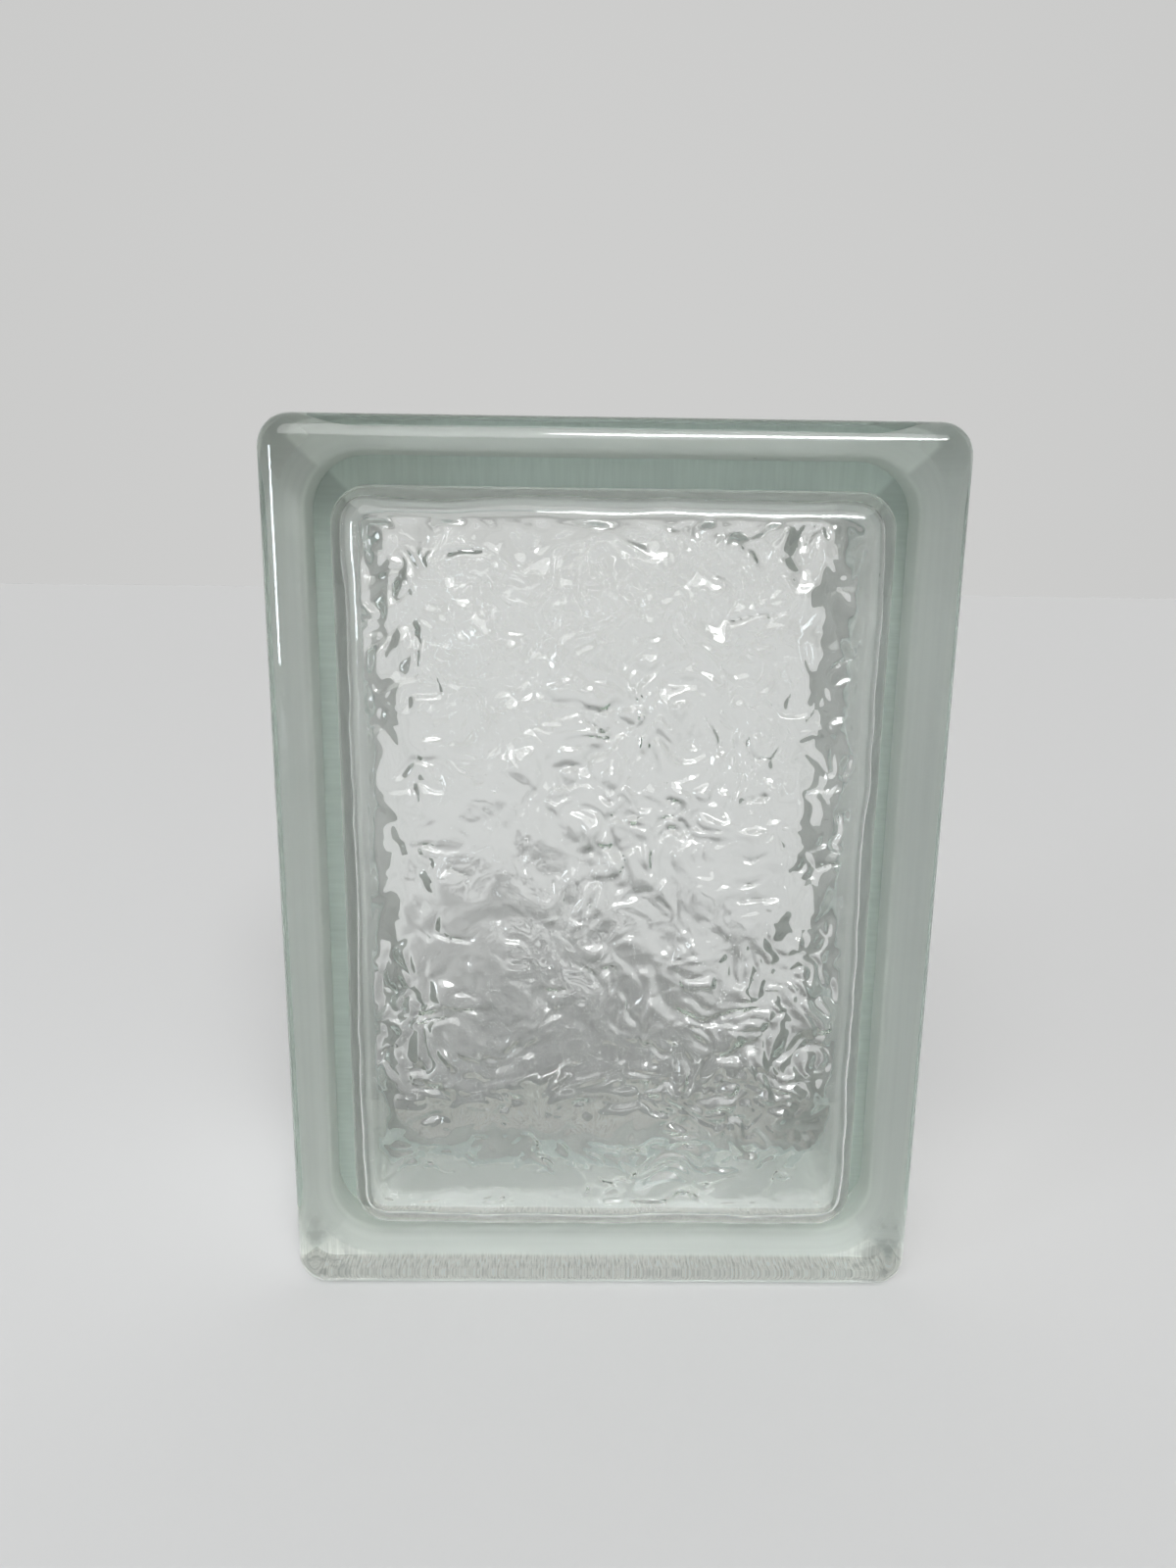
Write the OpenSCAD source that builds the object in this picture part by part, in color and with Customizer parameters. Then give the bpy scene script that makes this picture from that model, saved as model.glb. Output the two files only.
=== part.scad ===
// Hollow glass building block: two pressed glass half-shells, fused along a seam round the middle.
// It stands on a narrow edge: X is its width, Y its thickness (the front face towards -Y), Z its height.

/* [Block] */
// Width across the rims
block_w = 146; // [120:1:300]
// Height across the rims
block_h = 197; // [120:1:300]
// Thickness from face to face
block_d = 98; // [76:1:120]
// Corner radius of the rims, seen square on to a face
corner_r = 7; // [6:0.5:12]
// Rounding where each face turns over into its rim
edge_r = 5; // [2:0.5:6]

/* [Rim and mortar key] */
// How far the rim reaches back from its face
rim_t = 25; // [18:0.5:28]
// Depth of the mortar key, from the rim in to the side wall
key_depth = 5.5; // [3:0.5:8]
// Depth, along the thickness, of the slope from the rim down into the key
slope_run = 6; // [3:0.5:8]
// Corner radius of the slope's outline where it leaves the rim
slope_corner_r = 18; // [14:0.5:24]

/* [Glass] */
// Thickness of each face pane
pane_t = 8; // [5:0.5:12]
// Thickness of the side walls at the seam
wall_t = 7; // [5:0.5:10]
// How much thicker the side walls have grown where they reach the pane
wall_draft = 1; // [0.25:0.25:2]
// Fillet between the side walls and the pane, inside the cavity
cavity_fillet_r = 6.5; // [2:0.5:7]
// Corner radius of the cavity at the seam, seen square on to a face
cavity_corner_r = 9; // [8:0.5:14]

/* [Fused seam] */
// How far the bead of fused glass stands out of the key
bead_proud = 1; // [0.5:0.25:1.5]
// Width of the bead along the thickness, the two halves together
bead_w = 6; // [4:0.5:10]

/* [Hidden] */
$fn = 96;
half_d = block_d / 2;
past = 1;
glass_colour = [0.78, 0.86, 0.82];

// A body of w by h with corner radius r, seen square on, made by carrying a section round it.
// The section's x is measured out from the line of the corner centres, so its edge is at r, and
// its y is the depth back from the face. The middle is filled from depth near to depth far.
module carried_round(w, h, r, near, far) {
    for (side = [0 : 3]) {
        along = side % 2 == 0 ? w - 2 * r : h - 2 * r;
        out = side % 2 == 0 ? h / 2 - r : w / 2 - r;
        rotate([0, 0, 90 * side]) {
            translate([along / 2, -out, 0])
                rotate([90, 0, -90])
                    linear_extrude(height = along) children();
            translate([along / 2, -out, 0])
                rotate([0, 0, -90])
                    rotate_extrude(angle = 90) children();
        }
    }
    translate([r - w / 2, r - h / 2, near])
        cube([w - 2 * r, h - 2 * r, far - near]);
}

// Face and rim: square at the back, rounded where the face turns over.
module rim_section() {
    difference() {
        square([corner_r, rim_t]);
        difference() {
            translate([corner_r - edge_r, 0]) square(edge_r);
            translate([corner_r - edge_r, edge_r]) circle(edge_r);
        }
    }
}

// Slope, side wall and this half's share of the seam bead, solid through to the middle.
module wall_section() {
    wall_x = slope_corner_r - key_depth;
    polygon([
        [0, edge_r], [slope_corner_r, edge_r], [slope_corner_r, rim_t],
        [wall_x, rim_t + slope_run], [wall_x, half_d - bead_w / 2],
        [wall_x + bead_proud, half_d - bead_w / 4], [wall_x + bead_proud, half_d],
        [0, half_d]
    ]);
}

// Cavity: drafted side walls that meet the pane in a fillet. It runs past the seam.
module cavity_section() {
    draft = atan(wall_draft / (half_d - pane_t));
    pane_x = cavity_corner_r - wall_draft;
    fillet_x = pane_x + cavity_fillet_r * (tan(draft) - 1 / cos(draft));
    fillet_y = pane_t + cavity_fillet_r;
    difference() {
        polygon([
            [0, pane_t], [pane_x, pane_t],
            [cavity_corner_r + past * tan(draft), half_d + past], [0, half_d + past]
        ]);
        difference() {
            polygon([
                [fillet_x, pane_t], [pane_x, pane_t],
                [fillet_x + cavity_fillet_r * cos(draft), fillet_y - cavity_fillet_r * sin(draft)]
            ]);
            translate([fillet_x, fillet_y]) circle(cavity_fillet_r);
        }
    }
}

// One pressed half, lying on its face: the face at depth 0 and the seam at depth half_d.
module half_shell() {
    inset = key_depth + wall_t;
    difference() {
        union() {
            carried_round(block_w, block_h, corner_r, 0, rim_t) rim_section();
            carried_round(block_w, block_h, slope_corner_r, edge_r, half_d) wall_section();
        }
        carried_round(block_w - 2 * inset, block_h - 2 * inset, cavity_corner_r, pane_t, half_d + past)
            cavity_section();
    }
}

module front_half_shell() {
    color(glass_colour)
        translate([0, -half_d, block_h / 2])
            rotate([90, 0, 180]) half_shell();
}

module back_half_shell() {
    color(glass_colour)
        translate([0, half_d, block_h / 2])
            rotate([90, 0, 0]) half_shell();
}

front_half_shell();
back_half_shell();
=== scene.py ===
# %% [markdown]
# # A hollow glass block
# A glass block is pressed as two open halves, like two deep trays, which are fused rim to rim
# while they are hot. This lesson builds both halves out of rounded rectangles carried along a
# section: down the outside from the face to the fused seam, then back up the inside of the cavity
# to the pane. The ice relief is then raised on the inner side of each pane. Light bends where it
# meets every one of these skins, as it does in the real block, so most of the look comes from the
# shape.

# %% Load the frame
import bmesh
import bpy
import math
from mathutils import Matrix, Vector, noise
from types import SimpleNamespace


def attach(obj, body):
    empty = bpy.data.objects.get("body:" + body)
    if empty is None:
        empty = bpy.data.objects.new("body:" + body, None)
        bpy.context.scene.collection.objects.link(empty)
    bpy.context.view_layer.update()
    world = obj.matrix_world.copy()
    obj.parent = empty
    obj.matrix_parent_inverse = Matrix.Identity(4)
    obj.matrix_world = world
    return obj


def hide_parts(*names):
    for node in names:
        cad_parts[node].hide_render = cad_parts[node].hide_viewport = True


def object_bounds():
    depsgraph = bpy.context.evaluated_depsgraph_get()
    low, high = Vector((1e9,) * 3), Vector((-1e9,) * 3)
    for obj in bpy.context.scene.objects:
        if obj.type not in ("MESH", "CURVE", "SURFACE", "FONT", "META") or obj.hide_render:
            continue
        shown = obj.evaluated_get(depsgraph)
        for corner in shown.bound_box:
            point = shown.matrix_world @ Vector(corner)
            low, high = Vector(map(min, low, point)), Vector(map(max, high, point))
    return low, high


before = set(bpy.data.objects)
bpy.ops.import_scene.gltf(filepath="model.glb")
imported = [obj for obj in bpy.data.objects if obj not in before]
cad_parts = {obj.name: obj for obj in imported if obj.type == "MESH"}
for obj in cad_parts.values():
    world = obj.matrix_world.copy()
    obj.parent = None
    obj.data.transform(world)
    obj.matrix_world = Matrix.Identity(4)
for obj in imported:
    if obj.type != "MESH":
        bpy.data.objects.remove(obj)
cad_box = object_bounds()
low, high = cad_box
WIDTH, DEPTH, HEIGHT = high - low
HALF_DEPTH = DEPTH / 2
print("block", [round(size * 1000, 1) for size in (WIDTH, DEPTH, HEIGHT)], "mm")

# %% [markdown]
# ## Sizes
# The sizes are those of the solid part, in metres. A section point is written as (inset, depth):
# how far in from the outline of the rim, and how far back from the face. The third number that
# goes with it is the corner radius of the rounded rectangle that passes through that point. The
# last five sizes belong to the skin alone: they soften sharp edges, keep the face flat and part
# the halves a little at the seam.

# %% Sizes
MM = 0.001
RIM_CORNER = 7 * MM
EDGE_ROUND = 5 * MM
RIM_DEPTH = 25 * MM
KEY_DEPTH = 5.5 * MM
SLOPE_RUN = 6 * MM
SLOPE_CORNER = 18 * MM
PANE = 8 * MM
WALL = 7 * MM
DRAFT = 1 * MM
FILLET = 6.5 * MM
CAVITY_CORNER = 9 * MM
BEAD = 1 * MM
BEAD_WIDTH = 6 * MM
SHOULDER_ROUND = 0.9 * MM
FOOT_ROUND = 2.5 * MM
BEAD_ROUND = 0.6 * MM
FACE_EDGE = 0.4 * MM
SEAM_NOTCH = 0.2 * MM
cavity_width = WIDTH - 2 * (KEY_DEPTH + WALL)
print("cavity", round(cavity_width * 1000, 1), "mm wide at the seam")

# %% How finely the curves are cut
ARC_STEPS = 8
EDGE_STEPS = 10
SHOULDER_STEPS = 4
FOOT_STEPS = 6
BEAD_STEPS = 2
FILLET_STEPS = 8
ACROSS = 220
UP = 320
NEAR = 0.002 * MM
print("straight sides of a fine loop are cut into", ACROSS, "and", UP)

# %% [markdown]
# ## Tools for a section carried round a rounded rectangle
# Every loop of the mesh is a rounded rectangle at one depth: a plane is stretched to size, its
# four corners are bevelled and its face is deleted. Mesh numbers change with every edit, so a loop
# is always found again by where it is: `off_outline` tells how far a point is from an outline.

# %% Loops found by place
def off_outline(point, inset, corner):
    """How far a point is outside the rim's outline, pulled in by inset and rounded by corner."""
    past_x = abs(point.x) - (WIDTH / 2 - inset - corner)
    past_z = abs(point.z - HEIGHT / 2) - (HEIGHT / 2 - inset - corner)
    if past_x > 0 and past_z > 0:
        return math.hypot(past_x, past_z) - corner
    return max(past_x, past_z) - corner


def on_loop(vert, loop):
    inset, y, corner = loop
    return abs(vert.co.y - y) < NEAR and abs(off_outline(vert.co, inset, corner)) < NEAR


def select_edges(keep):
    """Selects the edges that keep(edge) picks, and nothing else."""
    bpy.ops.mesh.select_mode(type="EDGE")
    bpy.ops.mesh.select_all(action="DESELECT")
    mesh = bpy.context.edit_object.data
    work = bmesh.from_edit_mesh(mesh)
    for edge in work.edges:
        if keep(edge):
            edge.select_set(True)
    bmesh.update_edit_mesh(mesh)


def select_loops(*wanted):
    def wanted_edge(edge):
        one, other = edge.verts
        return any(on_loop(one, loop) and on_loop(other, loop) for loop in wanted)
    select_edges(wanted_edge)


print("loops are found by their outline and depth")

# %% Loops drawn
def edit_new(name):
    """An empty mesh object at the origin, open in edit mode."""
    bpy.ops.object.select_all(action="DESELECT")
    bpy.ops.mesh.primitive_plane_add(size=1, location=(0, 0, 0))
    made = bpy.context.active_object
    made.name = name
    made.data.name = name
    bpy.ops.object.mode_set(mode="EDIT")
    bpy.ops.mesh.delete(type="VERT")
    return made


def split_straights(loop, across, up):
    """Cuts the loop's two level sides into across pieces each and its upright sides into up.

    One pass makes 100 cuts at most, so each side is halved twice before it is cut to the end.
    """
    longest_arc_edge = 10 * MM
    for level, pieces in ((True, across), (False, up)):
        for cuts in (1, 1, pieces // 4 - 1):
            def straight(edge):
                one, other = edge.verts
                step = one.co - other.co
                span = abs(step.x) if level else abs(step.z)
                return span > longest_arc_edge and on_loop(one, loop) and on_loop(other, loop)
            select_edges(straight)
            bpy.ops.mesh.subdivide(number_cuts=cuts)


def add_loop(loop, fine):
    inset, y, corner = loop
    upright = (math.radians(90), 0, 0)
    bpy.ops.mesh.primitive_plane_add(size=1, location=(0, 0, 0), rotation=upright)
    bpy.ops.transform.resize(value=(WIDTH - 2 * inset, 1, HEIGHT - 2 * inset))
    bpy.ops.transform.translate(value=(0, y, HEIGHT / 2))
    bpy.ops.mesh.bevel(offset=corner, segments=ARC_STEPS, profile=0.5,
                       affect="VERTICES", clamp_overlap=False)
    bpy.ops.mesh.delete(type="ONLY_FACE")
    if fine:
        split_straights(loop, ACROSS, UP)


print("a fine loop has", 2 * (ACROSS + UP) + 4 * ARC_STEPS, "edges")

# %% Loops joined and closed
def bridge(one, other):
    select_loops(one, other)
    bpy.ops.mesh.bridge_edge_loops()


def fill_flat(loop):
    select_loops(loop)
    bpy.ops.mesh.edge_face_add()


def fill_fine(loop):
    """Fills a finely cut loop with a grid, starting from the middle of one of its corners."""
    select_loops(loop)
    inset, y, _ = loop
    mesh = bpy.context.edit_object.data
    work = bmesh.from_edit_mesh(mesh)
    corner = Vector((inset - WIDTH / 2, y, HEIGHT - inset))
    selected = [vert for vert in work.verts if vert.select]
    start = min(selected, key=lambda vert: (vert.co - corner).length)
    work.select_history.clear()
    work.select_history.add(start)
    bmesh.update_edit_mesh(mesh)
    bpy.ops.mesh.fill_grid(span=ACROSS + ARC_STEPS, offset=0)


print("a pane is filled with", ACROSS + ARC_STEPS, "by", UP + ARC_STEPS, "faces")

# %% [markdown]
# ## The two sections
# The outside turns over from the face into a deep rim, drops down a slope into the mortar key and
# ends on the bead of fused glass. The corners of the slope are rounder than those of the rim,
# which leaves a little web of flat glass behind each corner of the rim. The cavity has drafted
# walls and meets the pane in a wide fillet.

# %% The outside, from face to seam
def turn_corner(before, corner, after, size, steps):
    """Points that round off a corner of a section, from size before it to size after it."""
    before, corner, after = Vector(before), Vector(corner), Vector(after)
    start = corner + (before - corner).normalized() * size
    end = corner + (after - corner).normalized() * size
    points = []
    for step in range(steps + 1):
        t = step / steps
        points.append(start * (1 - t) ** 2 + corner * (2 * t * (1 - t)) + end * t * t)
    return points


def outer_section():
    """The outside's loops. The rim's corners hold to the middle of the shoulder."""
    flat_edge = EDGE_ROUND + FACE_EDGE
    section = [(flat_edge, 0, RIM_CORNER - flat_edge)]
    for step in range(EDGE_STEPS + 1):
        turn = math.radians(90) * step / EDGE_STEPS
        inset = EDGE_ROUND * (1 - math.sin(turn))
        section.append((inset, EDGE_ROUND * (1 - math.cos(turn)), RIM_CORNER - inset))
    shoulder = (0, RIM_DEPTH)
    foot = (KEY_DEPTH, RIM_DEPTH + SLOPE_RUN)
    bead_foot = (KEY_DEPTH, HALF_DEPTH - BEAD_WIDTH / 2)
    bead_top = (KEY_DEPTH - BEAD, HALF_DEPTH - BEAD_WIDTH / 4)
    bead_middle = (KEY_DEPTH - BEAD, HALF_DEPTH)
    turned = turn_corner((0, EDGE_ROUND), shoulder, foot, SHOULDER_ROUND, SHOULDER_STEPS)
    on_rim = SHOULDER_STEPS // 2 + 1
    section += [(inset, depth, RIM_CORNER - inset) for inset, depth in turned[:on_rim]]
    rest = turned[on_rim:]
    rest += turn_corner(shoulder, foot, bead_foot, FOOT_ROUND, FOOT_STEPS)
    rest += turn_corner(foot, bead_foot, bead_top, BEAD_ROUND, BEAD_STEPS)
    rest += turn_corner(bead_foot, bead_top, bead_middle, BEAD_ROUND, BEAD_STEPS)
    rest.append(Vector((bead_middle[0] + SEAM_NOTCH / 5, HALF_DEPTH - SEAM_NOTCH)))
    rest.append(Vector((bead_middle[0] + SEAM_NOTCH, HALF_DEPTH)))
    section += [(inset, depth, SLOPE_CORNER - inset) for inset, depth in rest]
    return section


outside = [(inset, depth - HALF_DEPTH, corner) for inset, depth, corner in outer_section()]
print("outside:", len(outside), "loops from the face to the seam")

# %% The cavity, from seam to pane
# How the fused lip stands in from the wall: (distance from the seam, how far proud), both in mm.
FUSED_LIP = ((0.03, 0.5), (0.3, 0.4), (0.7, 0.12), (1.1, 0), (1.6, 0))
ABOVE_FILLET = 0.5 * MM


def cavity_section():
    """The cavity's loops: the fused lip, the drafted wall and the fillet round the pane."""
    lean = math.atan(DRAFT / (HALF_DEPTH - PANE))
    wall_inset = KEY_DEPTH + WALL
    pane_inset = wall_inset + DRAFT
    reach = FILLET * (1 / math.cos(lean) - math.tan(lean))

    def wall(ahead, proud=0):
        """A loop on the wall, ahead of the seam, standing proud of the wall's true line."""
        inset = wall_inset + math.tan(lean) * ahead + proud
        return inset, HALF_DEPTH - ahead, CAVITY_CORNER - (inset - wall_inset)

    section = [wall(ahead * MM, proud * MM) for ahead, proud in FUSED_LIP]
    section.append(wall(HALF_DEPTH - PANE - FILLET - ABOVE_FILLET))
    for step in range(FILLET_STEPS, -1, -1):
        turn = (math.radians(90) - lean) * step / FILLET_STEPS
        inset = pane_inset + reach - FILLET * math.sin(turn)
        depth = PANE + FILLET * (1 - math.cos(turn))
        section.append((inset, depth, CAVITY_CORNER - (inset - wall_inset)))
    return section


inside = [(inset, depth - HALF_DEPTH, corner) for inset, depth, corner in cavity_section()]
pane_loop = inside[-1]
print("cavity:", len(inside), "loops from the seam to the pane")

# %% [markdown]
# ## The two halves
# The front half is one closed skin: the face is filled, the loops are bridged one to the next,
# and the pane is filled with a fine grid that is ready to be raised into the ice relief. The loops
# of the fillet are cut as finely as the grid, so that the fillet can stray too. The back half is
# the same skin mirrored through the seam.

# %% The front half
front = edit_new("front_half_shell_glass")
loops = outside + inside
first_fine = len(loops) - FILLET_STEPS - 1
for number, loop in enumerate(loops):
    add_loop(loop, fine=number >= first_fine)
for one, other in zip(loops, loops[1:]):
    bridge(one, other)
fill_flat(loops[0])
fill_fine(pane_loop)
bpy.ops.mesh.select_all(action="SELECT")
bpy.ops.mesh.normals_make_consistent(inside=False)
bpy.ops.object.mode_set(mode="OBJECT")
print(front.name, "has", len(front.data.polygons), "faces")

# %% The back half
bpy.ops.object.select_all(action="DESELECT")
front.select_set(True)
bpy.context.view_layer.objects.active = front
bpy.ops.object.duplicate()
back = bpy.context.active_object
back.name = "back_half_shell_glass"
back.data.name = back.name
bpy.ops.object.mode_set(mode="EDIT")
bpy.ops.mesh.select_all(action="SELECT")
bpy.ops.transform.resize(value=(1, -1, 1), center_override=(0, 0, 0))
bpy.ops.mesh.normals_make_consistent(inside=False)
bpy.ops.object.mode_set(mode="OBJECT")
print(back.name, "has", len(back.data.polygons), "faces")

# %% [markdown]
# ## The ice relief
# The pattern pressed into the inner side of a pane is a field of soft lumps with thin crests
# between them. Noise bent by a second noise gives the crumpled, watery run of the crests. Some
# zones are busier than others, and here and there a sharp little curl stands out. The relief fades
# out just inside the fillet, and each pane gets its own stretch of the noise.

# %% Scales and depths of the relief
RELIEF = 1.0 * MM
FADE = 2.0 * MM
BEND = 5 * MM
FOLD = 2 * MM
# Waves per metre
ZONE_SCALE = 22
BEND_SCALE = 70
CREST_SCALE = 70
BREAK_SCALE = 110
LUMP_SCALE = 130
CURL_SCALE = 140
FOLD_SCALE = 200
RIPPLE_SCALE = 230
# How much each layer adds, in parts of the full relief
CREST_SHARE = 0.7
LUMP_SHARE = 0.8
RIPPLE_SHARE = 0.2
BUSY_RIPPLE_SHARE = 0.5
CURL_SHARE = 0.6
MEAN_HEIGHT = 0.6
print("relief about", RELIEF * 1000, "mm deep")

# %% Height of the relief
def clamped(value):
    return max(0.0, min(1.0, value))


def crest(place):
    """Highest where the noise changes sign, falling off to both sides."""
    return 1 - abs(noise.noise(place)) * 2


def crumple(x, z, seed):
    """Height of the relief at a place on the pane, in parts of the full relief.

    The vectors added to a place only keep one layer of noise apart from the next.
    """
    place = Vector((x, z, seed))
    bent = place + noise.noise_vector(place * BEND_SCALE) * BEND
    folded = bent + noise.noise_vector(bent * FOLD_SCALE) * FOLD
    crests = crest(bent * CREST_SCALE)
    lumps = noise.noise(bent * LUMP_SCALE + Vector((3, 7, 1)))
    ripples = crest(folded * RIPPLE_SCALE)
    busy = clamped(0.45 + 1.8 * noise.noise(place * ZONE_SCALE + Vector((5, 1, 9))))
    broken = clamped(2.5 * noise.noise(place * BREAK_SCALE + Vector((2, 8, 4))))
    off_curl = abs(noise.noise(folded * CURL_SCALE + Vector((6, 2, 5))))
    curls = max(0.0, 1 - off_curl * 4) ** 2
    ripple_share = RIPPLE_SHARE + BUSY_RIPPLE_SHARE * busy
    rough = CREST_SHARE * crests + LUMP_SHARE * lumps + ripple_share * ripples
    return (0.6 + 0.4 * busy) * rough + CURL_SHARE * curls * broken - MEAN_HEIGHT


def fade_in(distance):
    """0 at the edge of the pane, 1 from FADE inwards."""
    t = clamped(distance / FADE)
    return t * t * (3 - 2 * t)


print("full height of the relief is reached", FADE * 1000, "mm in from the fillet")

# %% [markdown]
# ## The straying fillet
# Pressed glass never follows its mould quite truly where it flows round a corner. The fillet
# between the walls and the pane is swept forwards and back by up to about a millimetre, most in the
# middle of its arc and not at all at its two ends, so that it still meets the wall and the pane.

# %% How far the fillet strays
STRAY = 1.1 * MM
SWAY_SCALE = 38
DENT_SCALE = 130
OFF_WALL = 0.1 * MM


def wobble(place, seed):
    """How far the fillet strays at a place, in parts of the full stray."""
    sway = noise.noise(Vector((place.x, place.z, seed)) * SWAY_SCALE)
    return sway + 0.4 * noise.noise(place * DENT_SCALE)


def fillet_share(place):
    """1 in the middle of the cavity's fillet, 0 at its two ends and off it."""
    back_from_pane = HALF_DEPTH - PANE - abs(place.y)
    inside_wall = -off_outline(place, KEY_DEPTH + WALL, CAVITY_CORNER)
    t = back_from_pane / FILLET
    if NEAR < t < 1 and inside_wall > OFF_WALL:
        return math.sin(math.pi * t)
    return 0


print("full stray of the fillet", round(STRAY * 1000, 1), "mm")

# %% Relief and fillet shaped
SEED = 5
FRONT_STRETCH = 3.1
BACK_STRETCH = 8.1
SMOOTH_ANGLE = math.radians(40)
noise.seed_set(SEED)
pane_inset, pane_y, pane_corner = pane_loop
for piece, side, seed in ((front, -1, FRONT_STRETCH), (back, 1, BACK_STRETCH)):
    raised = 0
    for vert in piece.data.vertices:
        inside_pane = -off_outline(vert.co, pane_inset, pane_corner)
        on_fillet = fillet_share(vert.co)
        if on_fillet:
            vert.co.y -= side * STRAY * wobble(vert.co, seed) * on_fillet
        if abs(abs(vert.co.y) - abs(pane_y)) < NEAR and inside_pane > NEAR:
            height = crumple(vert.co.x, vert.co.z, seed) * fade_in(inside_pane)
            vert.co.y -= side * RELIEF * height
            raised += 1
    bpy.ops.object.select_all(action="DESELECT")
    piece.select_set(True)
    bpy.context.view_layer.objects.active = piece
    bpy.ops.object.shade_smooth_by_angle(angle=SMOOTH_ANGLE)
    print(piece.name, "has", raised, "raised points")

# %% [markdown]
# ## Shader maths
# A finish that varies over a surface is a formula, and a formula reads best as one. `Socket` stands
# for one output of a shader node, so that `(streaks - 0.5) * 0.2 + 0.7` builds its math nodes by
# itself. `Socket.node` makes a node of any kind.

# %% Sockets
class Socket:
    """One output of a shader node. A formula on sockets builds its own math nodes."""

    def __init__(self, output):
        self.output = output
        self.tree = output.id_data

    @classmethod
    def node(cls, tree, kind, settings=None, values=None, output=0):
        """A node of any kind: its settings first, then the values or links of its inputs."""
        made = tree.nodes.new(kind)
        for name, setting in (settings or {}).items():
            setattr(made, name, setting)
        for slot, value in (values or {}).items():
            if isinstance(value, Socket):
                value.link(made.inputs[slot])
            else:
                made.inputs[slot].default_value = value
        return cls(made.outputs[output])

    def link(self, target):
        self.tree.links.new(self.output, target)

    def maths(self, operation, *values, clamp=False):
        settings = {"operation": operation, "use_clamp": clamp}
        return Socket.node(self.tree, "ShaderNodeMath", settings, dict(enumerate(values)))

    def __add__(self, other):
        return self.maths("ADD", self, other)

    def __radd__(self, other):
        return self.maths("ADD", other, self)

    def __sub__(self, other):
        return self.maths("SUBTRACT", self, other)

    def __rsub__(self, other):
        return self.maths("SUBTRACT", other, self)

    def __mul__(self, other):
        return self.maths("MULTIPLY", self, other)

    def __rmul__(self, other):
        return self.maths("MULTIPLY", other, self)

    def __abs__(self):
        return self.maths("ABSOLUTE", self)

    def ramp(self, start, end):
        """0 at start and 1 at end, clamped, and soft at both ends."""
        t = self.maths("DIVIDE", self - start, end - start, clamp=True)
        return t * t * (3 - 2 * t)

    def parts(self):
        """The X, Y and Z of a vector."""
        split = Socket.node(self.tree, "ShaderNodeSeparateXYZ", values={"Vector": self})
        return [Socket(output) for output in split.output.node.outputs]


print("sockets ready")

# %% Patterns
def speckle(place, scale, detail, roughness=0.5):
    """Noise between 0 and 1, its scale in waves per metre."""
    values = {"Vector": place, "Scale": scale, "Detail": detail, "Roughness": roughness}
    return Socket.node(place.tree, "ShaderNodeTexNoise", values=values)


def streaks(across, across_scale, along, along_scale, detail):
    """Noise drawn out along one of two directions, each with its own scale in waves per metre."""
    at = {"X": across * across_scale, "Y": along * along_scale}
    place = Socket.node(along.tree, "ShaderNodeCombineXYZ", values=at)
    return speckle(place, 1.0, detail, 0.6)


def tinted(tone, red, green, blue):
    """A colour made of one tone in three strengths."""
    channels = {"Red": tone * red, "Green": tone * green, "Blue": tone * blue}
    return Socket.node(tone.tree, "ShaderNodeCombineColor", values=channels)


print("patterns ready")

# %% [markdown]
# ## Where a point is on the block
# The coating differs from side to side: it is streaked hardest on the foot, scuffed and darkened
# with painted shade at the low corners, and painted lighter or darker on each side for how the
# light falls there. The four sides are told apart from the object coordinates alone, so every mark
# keeps its place on the block.

# %% Sides of the block
BLEND = 1 * MM
MIDDLE_BLEND = 5 * MM


def new_material(name):
    material = bpy.data.materials.new(name)
    material.use_nodes = True
    return material, material.node_tree.nodes["Principled BSDF"]


def object_place(material):
    return Socket.node(material.node_tree, "ShaderNodeTexCoord", output="Object")


def side_place(material):
    """Where a point is on the four sides of the block: its masks, and lengths in metres."""
    place = object_place(material)
    x, y, z = place.parts()
    from_side = WIDTH / 2 - abs(x)
    from_end = HEIGHT / 2 - abs(z - HEIGHT / 2)
    on_upright = (from_end - from_side).ramp(-BLEND, BLEND)
    on_level = 1 - on_upright
    low_down = 1 - z.ramp(HEIGHT / 2 - MIDDLE_BLEND, HEIGHT / 2 + MIDDLE_BLEND)
    return SimpleNamespace(
        place=place,
        from_middle=abs(y),
        along=z * on_upright + x * on_level,
        inward=from_side * on_upright + from_end * on_level,
        from_corner=from_side + from_end,
        on_upright=on_upright,
        on_level=on_level,
        on_foot=low_down * on_level,
        low_down=low_down,
        in_front=y.ramp(BLEND, -BLEND))


print("sides told apart within", BLEND * 1000, "mm")

# %% [markdown]
# ## Clear glass
# The glass is clear, with a faint green tint that gathers with thickness, so the tint is an
# absorption inside the skin and hardly any colour on it. Its surface swells very slightly, as
# pressed glass does, and hands leave faint smears on it that soften the highlights.

# %% Clear glass
GLASS_IOR = 1.52
GLASS_COLOUR = (0.997, 1.0, 0.998, 1)
DEPTH_TINT = (0.86, 0.96, 0.87, 1)
DEPTH_TINT_DENSITY = 9
SMEAR_ROUGHNESS = 0.03
SWELL_DEPTH = 0.3 * MM
glass, shader = new_material("clear_glass")
place = object_place(glass)
smears = speckle(place, scale=20.0, detail=5.0, roughness=0.6).ramp(0.5, 0.75)
swell = speckle(place, scale=55.0, detail=1.0)
bump = {"Height": swell, "Strength": 0.25, "Distance": SWELL_DEPTH}
Socket.node(glass.node_tree, "ShaderNodeBump", values=bump).link(shader.inputs["Normal"])
(smears * SMEAR_ROUGHNESS).link(shader.inputs["Roughness"])
shader.inputs["Base Color"].default_value = GLASS_COLOUR
shader.inputs["IOR"].default_value = GLASS_IOR
shader.inputs["Transmission Weight"].default_value = 1
tint = {"Color": DEPTH_TINT, "Density": DEPTH_TINT_DENSITY}
depth_tint = Socket.node(glass.node_tree, "ShaderNodeVolumeAbsorption", values=tint)
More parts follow.
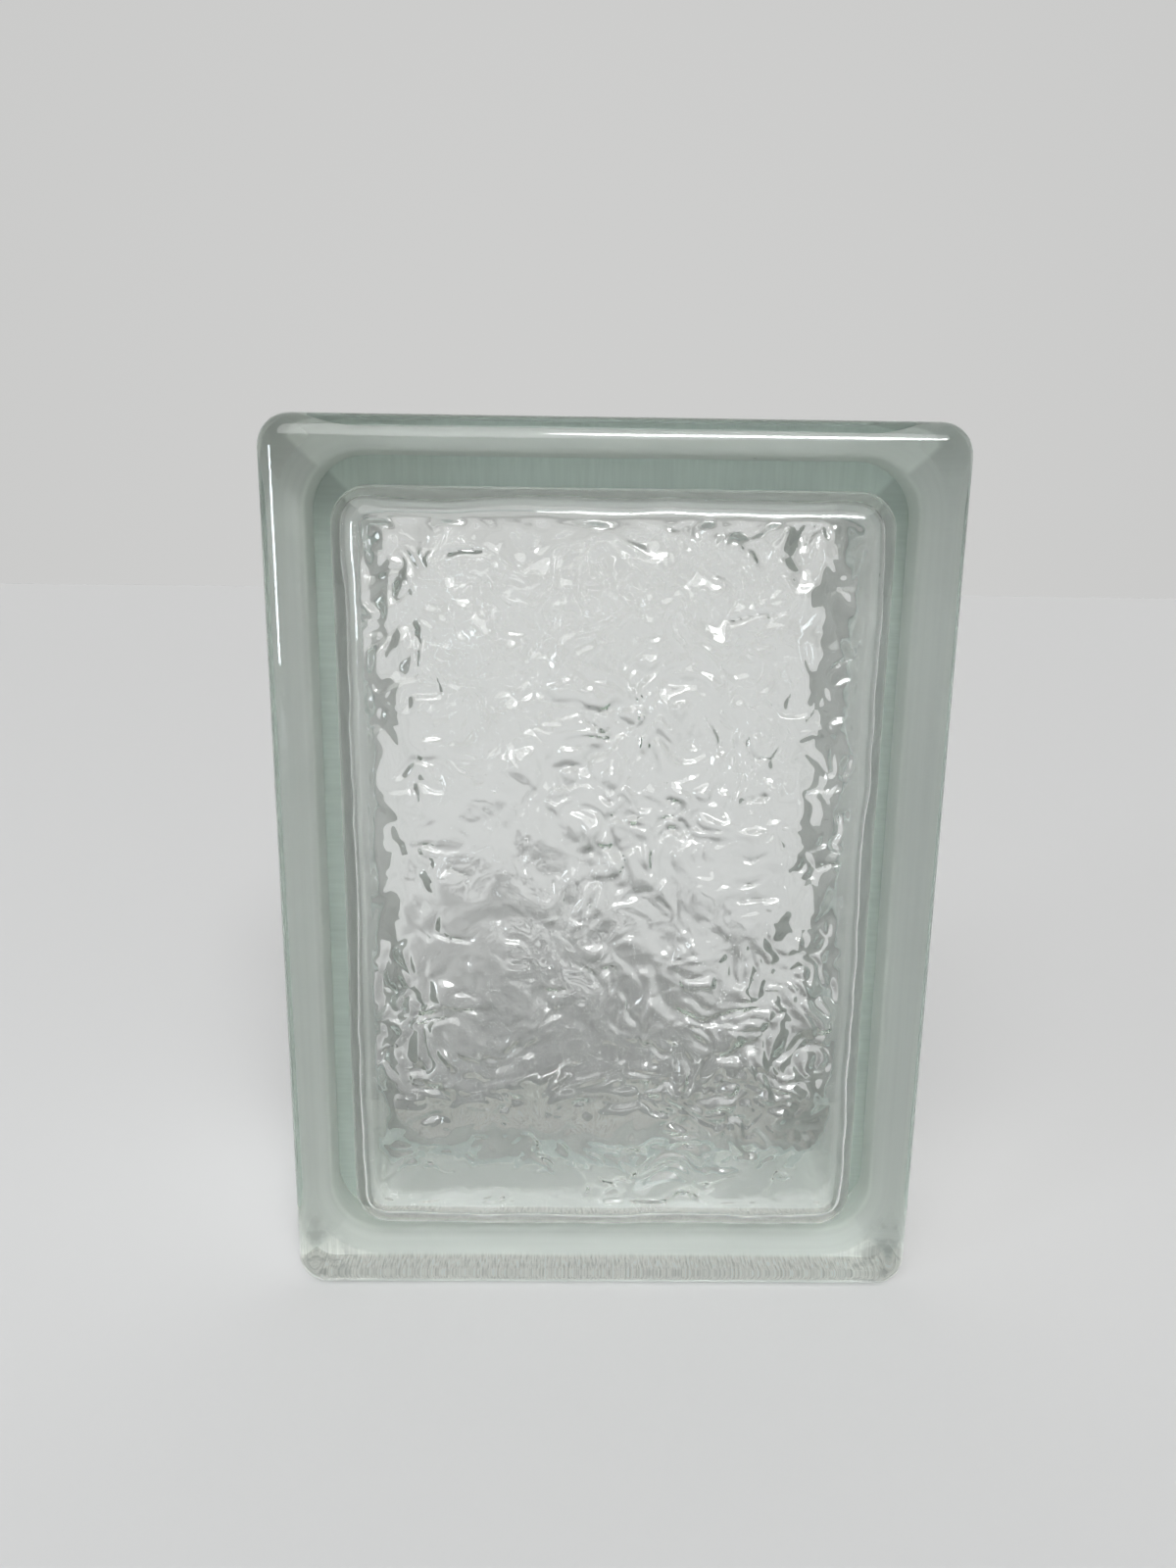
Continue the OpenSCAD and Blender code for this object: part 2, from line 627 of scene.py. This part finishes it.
depth_tint.link(glass.node_tree.nodes["Material Output"].inputs["Volume"])
print(glass.name, "made")

# %% [markdown]
# ## Satin coating
# The side walls and rims carry a thin satin coating, seen mostly from inside, through the glass.
# It is nearly white in itself: light that enters the glass meets it many times over, so a small
# change of its tone shows strongly. The mould leaves fine streaks across the rims, strong ones on
# the foot, and the brush leaves faint long ones along every side. Shade and light are painted into
# its tone for how the light falls on each side: the uprights are a little darker, and in the front
# half the slope behind the rim is greyer and the foot rim paler. The low corners are scuffed from
# standing on site and darkened there with painted shade, and dark specks lie here and there.

# %% Satin coating
COAT_TONE = 0.99
FOOT_STREAKS = 1.3
RIM_STREAKS = 0.25
LONG_STREAKS = 0.1
coating, shader = new_material("edge_coating")
side = side_place(coating)
rim_start = HALF_DEPTH - RIM_DEPTH
slope_start = rim_start - SLOPE_RUN
on_rim = side.from_middle.ramp(rim_start - BLEND, rim_start + BLEND)
on_slope = side.from_middle.ramp(slope_start - BLEND, slope_start + BLEND)
drawn_across = streaks(side.from_middle, 150, side.along, 1900, detail=4)
drawn_along = streaks(side.from_middle, 900, side.along, 12, detail=3)
clouds = speckle(side.place, scale=28.0, detail=3.0)
across_strength = (side.on_foot * FOOT_STREAKS + RIM_STREAKS) * on_rim
drawn = (drawn_across - 0.5) * across_strength + (drawn_along - 0.5) * LONG_STREAKS
print("streaks and clouds made for", coating.name)

# %% Painted shade and light, scuffs and specks of the coating
UPRIGHT_PAINTED_SHADE = 0.03
UPRIGHT_SLOPE_PAINTED_SHADE = 0.22
FOOT_SLOPE_PAINTED_SHADE = 0.2
FOOT_RIM_PAINTED_LIGHT = 0.12
FOOT_WARMTH = 0.04
CLOUDS = 0.1
SCUFF_AND_SHADE = 0.2
SCUFF_AND_SHADE_REACH = 16 * MM
SCUFF_AND_SHADE_FULL = 7 * MM
SPECK = 0.7
# Painted shade and light: the uprights a little darker everywhere, and in the front half the slope
# darker and the foot rim paler, for how the light falls on each side.
on_foot_rim = on_rim * side.on_foot
slope_painted_shade = side.on_upright * UPRIGHT_SLOPE_PAINTED_SHADE + side.on_foot * FOOT_SLOPE_PAINTED_SHADE
painted_shade_and_light = (on_slope * slope_painted_shade - on_foot_rim * FOOT_RIM_PAINTED_LIGHT) * side.in_front
painted_shade_and_light = painted_shade_and_light + side.on_upright * UPRIGHT_PAINTED_SHADE
tone = drawn - painted_shade_and_light + (clouds - 0.5) * CLOUDS + COAT_TONE
# Scuffs and painted shade: the low corners are darkened in patches, over the pale webs behind the
# rim.
in_corner = side.from_corner.ramp(SCUFF_AND_SHADE_REACH, SCUFF_AND_SHADE_FULL) * side.low_down
scuffs_and_painted_shade = speckle(side.place, scale=260.0, detail=4.0).ramp(0.45, 0.6) * in_corner
tone = tone * (1 - scuffs_and_painted_shade * SCUFF_AND_SHADE)
cells = {"Vector": side.place, "Scale": 55.0}
specks = Socket.node(coating.node_tree, "ShaderNodeTexVoronoi", values=cells).ramp(0.035, 0.02)
tone = tone * (1 - specks * SPECK)
warm_red = on_foot_rim * FOOT_WARMTH + 0.99
tinted(tone, warm_red, 1, 0.98).link(shader.inputs["Base Color"])
(clouds * 0.3 + 0.4).link(shader.inputs["Roughness"])
shader.inputs["Specular IOR Level"].default_value = 0.2
print(coating.name, "made")

# %% [markdown]
# ## Fused seam
# Where the halves are fused the glass is cloudy and drawn inwards in fine lines. The two flat rings
# that meet there take a satin finish of their own, with painted light on it: lighter on the level
# sides and most at the top.

# %% Fused seam
SEAM_TONE = 0.68
SEAM_STREAKS = 0.2
SEAM_LEVEL_PAINTED_LIGHT = 0.2
SEAM_FOOT_PAINTED_SHADE = 0.1
seam, shader = new_material("fused_seam")
side = side_place(seam)
drawn = streaks(side.inward, 60, side.along, 900, detail=3)
tone = (drawn - 0.5) * SEAM_STREAKS + SEAM_TONE
# Painted light: the level sides are lighter and the foot darker, so the top ring is lightest.
tone = tone + side.on_level * SEAM_LEVEL_PAINTED_LIGHT - side.on_foot * SEAM_FOOT_PAINTED_SHADE
tinted(tone, 0.96, 1.02, 1).link(shader.inputs["Base Color"])
shader.inputs["Roughness"].default_value = 0.5
shader.inputs["Specular IOR Level"].default_value = 0.0
print(seam.name, "made")

# %% [markdown]
# ## Which face is which
# One skin carries all three finishes, because they meet without a step. A face is told by its
# place: on the seam, on the outer side of the walls, or else clear glass.

# %% Which face is which
AT_SEAM = 0.05 * MM
PAST_EDGE = 0.2 * MM
CLEAR, COATED, FUSED = range(3)


def finish_of(centre):
    if abs(centre.y) < AT_SEAM:
        return FUSED
    inset = KEY_DEPTH + WALL / 2
    outer_side = off_outline(centre, inset, SLOPE_CORNER - inset) > 0
    behind_edge = HALF_DEPTH - abs(centre.y) > EDGE_ROUND + PAST_EDGE
    return COATED if outer_side and behind_edge else CLEAR


for piece, node in ((front, "front_half_shell"), (back, "back_half_shell")):
    for material in (glass, coating, seam):
        piece.data.materials.append(material)
    for face in piece.data.polygons:
        face.material_index = finish_of(face.center)
    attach(piece, "root")
    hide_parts(node)
    print(piece.name, "rides on root in place of", node)

# %% [markdown]
# ## Floor and sky
# The block stands on a plain pale floor under a soft pale sky. The sky is brightest behind the
# block, where it shines through the panes, and dimmer to the sides, in front and overhead, where it
# would only wash out the glass. The floor lies a hair below the rims, because two faces in one
# plane flicker.

# %% Floor
FLOOR_DROP = 0.1 * MM
FLOOR_RADIUS = 30
FLOOR_COLOUR = (0.612, 0.612, 0.609, 1)
bpy.ops.object.select_all(action="DESELECT")
bpy.ops.mesh.primitive_circle_add(radius=FLOOR_RADIUS, vertices=96, fill_type="NGON",
                                  location=(0, 0, -FLOOR_DROP))
floor = bpy.context.active_object
floor.name = "floor"
floor_finish, shader = new_material("floor")
shader.inputs["Base Color"].default_value = FLOOR_COLOUR
shader.inputs["Roughness"].default_value = 0.8
shader.inputs["Specular IOR Level"].default_value = 0.2
floor.data.materials.append(floor_finish)
print(floor.name, "made,", FLOOR_RADIUS, "m in radius")

# %% Sky
SKY = 0.62
SKY_IN_FRONT = 0.42
SKY_ASIDE = 0.06
sky = bpy.data.worlds.new("sky")
bpy.context.scene.world = sky
sky.use_nodes = True
background = sky.node_tree.nodes["Background"]
background.inputs["Color"].default_value = (1, 1, 0.99, 1)
look = Socket.node(sky.node_tree, "ShaderNodeTexCoord", output="Generated")
aside, ahead, up = look.parts()
behind = ahead * 0.5 + 0.5
glow = behind * (SKY - SKY_IN_FRONT) + SKY_IN_FRONT - aside * aside * SKY_ASIDE
overhead = up.ramp(0.35, 0.8)
glow = glow * (1 - overhead * (1.05 - behind * 0.9))
glow.link(background.inputs["Strength"])
print(sky.name, "made")

# %% [markdown]
# ## Lights
# A soft strip of light stands high in front, a little to the right: it draws the long highlight
# along the top edge, reaches the bottom of the cavity and leaves the shadow behind the block. It is
# three small suns side by side. A much wider sun fills the rims through the face, and a soft window
# far to the left, at about the height of the block, draws the upright highlight on the left edge.

# %% Lights that are aimed
def aim(thing, direction):
    """Points a light so that it shines along direction."""
    thing.rotation_mode = "QUATERNION"
    thing.rotation_quaternion = Vector(direction).to_track_quat("-Z", "Y")


def add_light(kind, name, location, energy, direction):
    """Adds a light and returns its data, ready for the settings that its kind has."""
    bpy.ops.object.light_add(type=kind, location=location)
    made = bpy.context.active_object
    made.name = name
    made.data.energy = energy
    aim(made, direction)
    return made.data


print("light maker ready")

# %% The strip, the wide sun and the window
STRIP_PLACE = (0.3, -1.0, 1.0)
STRIP_BEARINGS = (4, 10, 16)
STRIP_HEIGHT = math.radians(31)
STRIP_WIDTH = math.radians(10)
STRIP_ENERGY = 0.62
GLOW_WIDTH = math.radians(50)
for number, bearing in enumerate(STRIP_BEARINGS):
    across = math.radians(bearing)
    direction = (-math.sin(across) * math.cos(STRIP_HEIGHT),
                 math.cos(across) * math.cos(STRIP_HEIGHT),
                 -math.sin(STRIP_HEIGHT))
    name = "high_strip_" + str(number + 1)
    strip = add_light("SUN", name, STRIP_PLACE, STRIP_ENERGY, direction)
    strip.color = (0.97, 0.985, 1.0)
    strip.angle = STRIP_WIDTH

front_glow = add_light("SUN", "wide_front_glow", location=(-0.3, -1.0, 1.5),
                       energy=2.0, direction=(0.05, 0.76, -0.65))
front_glow.angle = GLOW_WIDTH

window = add_light("AREA", "left_window", location=(-1.25, -1.05, 0.24),
                   energy=7, direction=(1.25, 1.05, -0.12))
window.shape = "RECTANGLE"
window.size = 0.3
window.size_y = 0.34
window.color = (0.85, 0.93, 1.0)

# %% [markdown]
# ## Camera
# The camera stands close in front, a little below the top of the block, and looks down at it. The
# turn, tilt and roll are its own, in degrees, and a shift of the lens raises the frame a little.
# Light has to pass many skins of glass, so it is allowed many bounces, and bright light that comes
# by way of the glass isn't clipped too early.

# %% Camera
CAMERA_PLACE = (-0.0087, -0.2987, 0.1642)
TURN_RIGHT = 0.91
TILT_DOWN = 14.27
ROLL = 0.74
LENS = 27.05
RISE = 0.0633
bpy.ops.object.camera_add(location=CAMERA_PLACE)
camera = bpy.context.active_object
camera.name = "camera"
camera.rotation_mode = "QUATERNION"
yaw = Matrix.Rotation(math.radians(-TURN_RIGHT), 3, "Z")
pitch = Matrix.Rotation(math.radians(90 - TILT_DOWN), 3, "X")
roll = Matrix.Rotation(math.radians(ROLL), 3, "Z")
camera.rotation_quaternion = (yaw @ pitch @ roll).to_quaternion()
camera.data.sensor_width = 36
camera.data.lens = LENS
camera.data.shift_y = RISE
camera.data.clip_start = 0.01
scene = bpy.context.scene
scene.camera = camera
print("camera", round(camera.data.lens, 2), "mm lens")

# %% How light is followed
scene.view_settings.view_transform = "Standard"
scene.cycles.max_bounces = 18
scene.cycles.diffuse_bounces = 6
scene.cycles.transmission_bounces = 16
scene.cycles.glossy_bounces = 8
scene.cycles.sample_clamp_indirect = 30
print("light is followed through", scene.cycles.max_bounces, "bounces")
